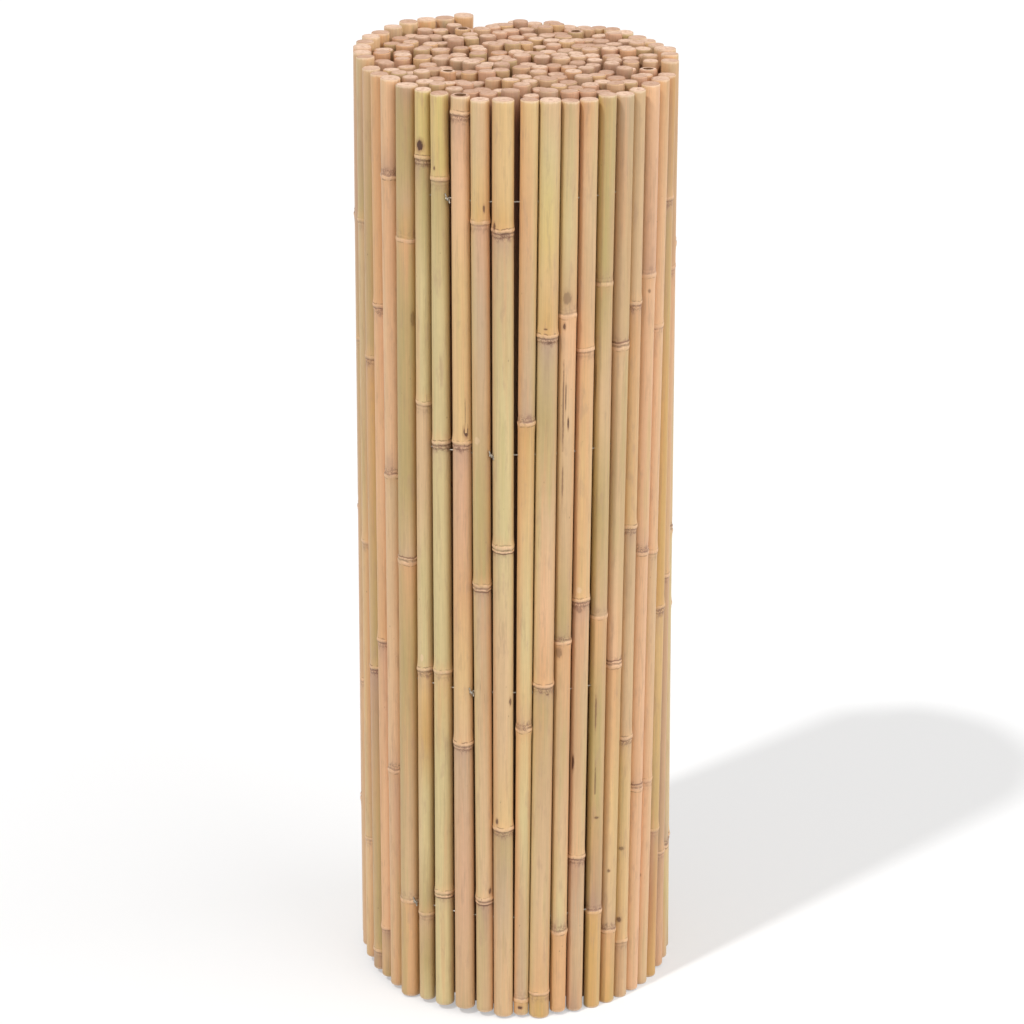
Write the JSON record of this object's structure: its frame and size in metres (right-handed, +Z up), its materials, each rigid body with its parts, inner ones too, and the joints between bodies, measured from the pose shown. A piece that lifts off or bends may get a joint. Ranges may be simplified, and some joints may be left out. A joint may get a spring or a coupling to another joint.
{
  "type": "rolled bamboo fence panel",
  "caption": "Bamboo fence panel rolled up and standing on end: canes threaded side by side on thin wires and wound into a tight upright roll.",
  "frame": {"origin": "centre of the roll's foot on the surface it stands on", "axes": "+Z up along the roll's axis, -Y towards the front that the picture shows"},
  "size_m": [0.342, 0.3426, 1.02],
  "materials": {
    "cane": "dried bamboo, satin skin",
    "wire": "galvanised wire"
  },
  "bodies": {
    "root": {"cane_01": "cane", "cane_02": "cane", "cane_03": "cane", "cane_04": "cane", "cane_05": "cane", "cane_06": "cane", "cane_07": "cane", "cane_08": "cane", "cane_09": "cane", "cane_10": "cane", "cane_11": "cane", "cane_12": "cane", "cane_13": "cane", "cane_14": "cane", "cane_15": "cane", "cane_16": "cane", "cane_17": "cane", "cane_18": "cane", "cane_19": "cane", "cane_20": "cane", "cane_21": "cane", "cane_22": "cane", "cane_23": "cane", "cane_24": "cane", "cane_25": "cane", "cane_26": "cane", "cane_27": "cane", "cane_28": "cane", "cane_29": "cane", "cane_30": "cane", "cane_31": "cane", "cane_32": "cane", "cane_33": "cane", "cane_34": "cane", "cane_35": "cane", "cane_36": "cane", "cane_37": "cane", "cane_38": "cane", "cane_39": "cane", "cane_40": "cane", "cane_41": "cane", "cane_42": "cane", "cane_43": "cane", "cane_44": "cane", "cane_45": "cane", "cane_46": "cane", "cane_47": "cane", "core_canes": "cane", "turn_2_canes": "cane", "turn_3_canes": "cane", "turn_4_canes": "cane", "turn_5_canes": "cane", "turn_6_canes": "cane", "turn_7_canes": "cane", "wire_1": "wire", "wire_2": "wire", "wire_3": "wire", "wire_4": "wire"}
  },
  "joints": []
}
